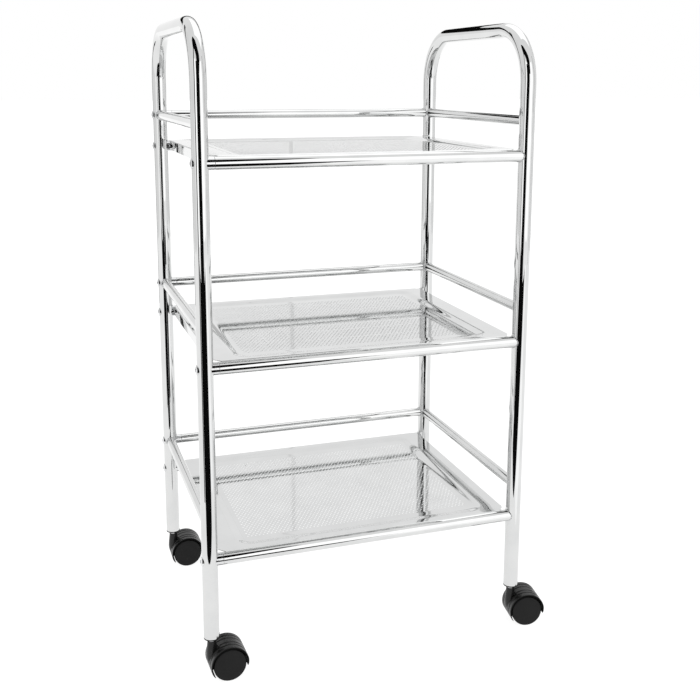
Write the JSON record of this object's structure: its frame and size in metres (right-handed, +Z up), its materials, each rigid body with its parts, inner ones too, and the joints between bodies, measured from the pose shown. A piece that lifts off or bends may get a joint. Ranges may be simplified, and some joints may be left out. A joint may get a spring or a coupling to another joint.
{
  "type": "salon trolley",
  "caption": "Rolling chrome salon trolley: two inverted-U tube side frames, perforated shelves with guard rails, twin-wheel swivel casters.",
  "frame": {"origin": "on the floor, under the middle of the bounding box with the casters at their rest headings", "axes": "+Z up, +X from the left handle to the right handle, -Y towards the open front"},
  "size_m": [0.4552, 0.3416, 0.7805],
  "materials": {
    "chrome_tube": "mirror chrome plating on bent steel tube",
    "chrome_rail": "mirror chrome plating on straight steel tube",
    "chrome_sheet": "mirror chrome plating on perforated steel sheet",
    "chrome_fastener": "polished plating, dome heads",
    "plug_metal": "plated collars, slightly duller than the tube",
    "caster_steel": "bright drawn pin",
    "hood_plastic": "black moulded nylon, satin to gloss",
    "wheel_plastic": "black moulded nylon, fine matte grain",
    "socket_plastic": "black moulded polyethylene"
  },
  "bodies": {
    "frame": {"left_side_frame": "chrome_tube", "right_side_frame": "chrome_tube", "left_frame_screws": "chrome_fastener", "left_guard_rail_bottom": "chrome_rail", "right_guard_rail_bottom": "chrome_rail", "back_guard_rail_bottom": "chrome_rail", "shelf_front_rail_bottom": "chrome_rail", "shelf_back_rail_bottom": "chrome_rail", "shelf_rail_plugs_bottom": "plug_metal", "shelf_deck_bottom": "chrome_sheet", "left_guard_rail_middle": "chrome_rail", "right_guard_rail_middle": "chrome_rail", "back_guard_rail_middle": "chrome_rail", "shelf_front_rail_middle": "chrome_rail", "shelf_back_rail_middle": "chrome_rail", "shelf_rail_plugs_middle": "plug_metal", "shelf_deck_middle": "chrome_sheet", "left_guard_rail_top": "chrome_rail", "right_guard_rail_top": "chrome_rail", "back_guard_rail_top": "chrome_rail", "shelf_front_rail_top": "chrome_rail", "shelf_back_rail_top": "chrome_rail", "shelf_rail_plugs_top": "plug_metal", "shelf_deck_top": "chrome_sheet", "back_guard_plugs": "plug_metal", "front_left_leg_socket": "socket_plastic", "front_right_leg_socket": "socket_plastic", "rear_left_leg_socket": "socket_plastic", "rear_right_leg_socket": "socket_plastic"},
    "front_left_caster": {"front_left_caster_stem": "caster_steel", "front_left_caster_hood": "hood_plastic", "front_left_caster_axle": "caster_steel"},
    "front_left_wheel_outer": {"front_left_wheel_outer": "wheel_plastic"},
    "front_left_wheel_inner": {"front_left_wheel_inner": "wheel_plastic"},
    "front_right_caster": {"front_right_caster_stem": "caster_steel", "front_right_caster_hood": "hood_plastic", "front_right_caster_axle": "caster_steel"},
    "front_right_wheel_outer": {"front_right_wheel_outer": "wheel_plastic"},
    "front_right_wheel_inner": {"front_right_wheel_inner": "wheel_plastic"},
    "rear_left_caster": {"rear_left_caster_stem": "caster_steel", "rear_left_caster_hood": "hood_plastic", "rear_left_caster_axle": "caster_steel"},
    "rear_left_wheel_outer": {"rear_left_wheel_outer": "wheel_plastic"},
    "rear_left_wheel_inner": {"rear_left_wheel_inner": "wheel_plastic"},
    "rear_right_caster": {"rear_right_caster_stem": "caster_steel", "rear_right_caster_hood": "hood_plastic", "rear_right_caster_axle": "caster_steel"},
    "rear_right_wheel_outer": {"rear_right_wheel_outer": "wheel_plastic"},
    "rear_right_wheel_inner": {"rear_right_wheel_inner": "wheel_plastic"}
  },
  "joints": [
    {"name": "front_left_swivel", "type": "hinge", "parent": "frame", "child": "front_left_caster", "pos_m": [-0.21648, -0.14711, 0.0535], "axis": [0, 0, 1], "continuous": true},
    {"name": "front_left_outer_wheel_spin", "type": "hinge", "parent": "front_left_caster", "child": "front_left_wheel_outer", "pos_m": [-0.19799, -0.14646, 0.02], "axis": [-0.0349, 0.9994, 0], "continuous": true},
    {"name": "front_left_inner_wheel_spin", "type": "hinge", "parent": "front_left_caster", "child": "front_left_wheel_inner", "pos_m": [-0.19799, -0.14646, 0.02], "axis": [-0.0349, 0.9994, 0], "continuous": true},
    {"name": "front_right_swivel", "type": "hinge", "parent": "frame", "child": "front_right_caster", "pos_m": [0.18352, -0.14711, 0.0535], "axis": [0, 0, 1], "continuous": true},
    {"name": "front_right_outer_wheel_spin", "type": "hinge", "parent": "front_right_caster", "child": "front_right_wheel_outer", "pos_m": [0.20179, -0.15, 0.02], "axis": [0.1564, 0.9877, 0], "continuous": true},
    {"name": "front_right_inner_wheel_spin", "type": "hinge", "parent": "front_right_caster", "child": "front_right_wheel_inner", "pos_m": [0.20179, -0.15, 0.02], "axis": [0.1564, 0.9877, 0], "continuous": true},
    {"name": "rear_left_swivel", "type": "hinge", "parent": "frame", "child": "rear_left_caster", "pos_m": [-0.21648, 0.15289, 0.0535], "axis": [0, 0, 1], "continuous": true},
    {"name": "rear_left_outer_wheel_spin", "type": "hinge", "parent": "rear_left_caster", "child": "rear_left_wheel_outer", "pos_m": [-0.19798, 0.15289, 0.02], "axis": [0, 1, 0], "continuous": true},
    {"name": "rear_left_inner_wheel_spin", "type": "hinge", "parent": "rear_left_caster", "child": "rear_left_wheel_inner", "pos_m": [-0.19798, 0.15289, 0.02], "axis": [0, 1, 0], "continuous": true},
    {"name": "rear_right_swivel", "type": "hinge", "parent": "frame", "child": "rear_right_caster", "pos_m": [0.18352, 0.15289, 0.0535], "axis": [0, 0, 1], "continuous": true},
    {"name": "rear_right_outer_wheel_spin", "type": "hinge", "parent": "rear_right_caster", "child": "rear_right_wheel_outer", "pos_m": [0.20179, 0.15, 0.02], "axis": [0.1564, 0.9877, 0], "continuous": true},
    {"name": "rear_right_inner_wheel_spin", "type": "hinge", "parent": "rear_right_caster", "child": "rear_right_wheel_inner", "pos_m": [0.20179, 0.15, 0.02], "axis": [0.1564, 0.9877, 0], "continuous": true}
  ]
}
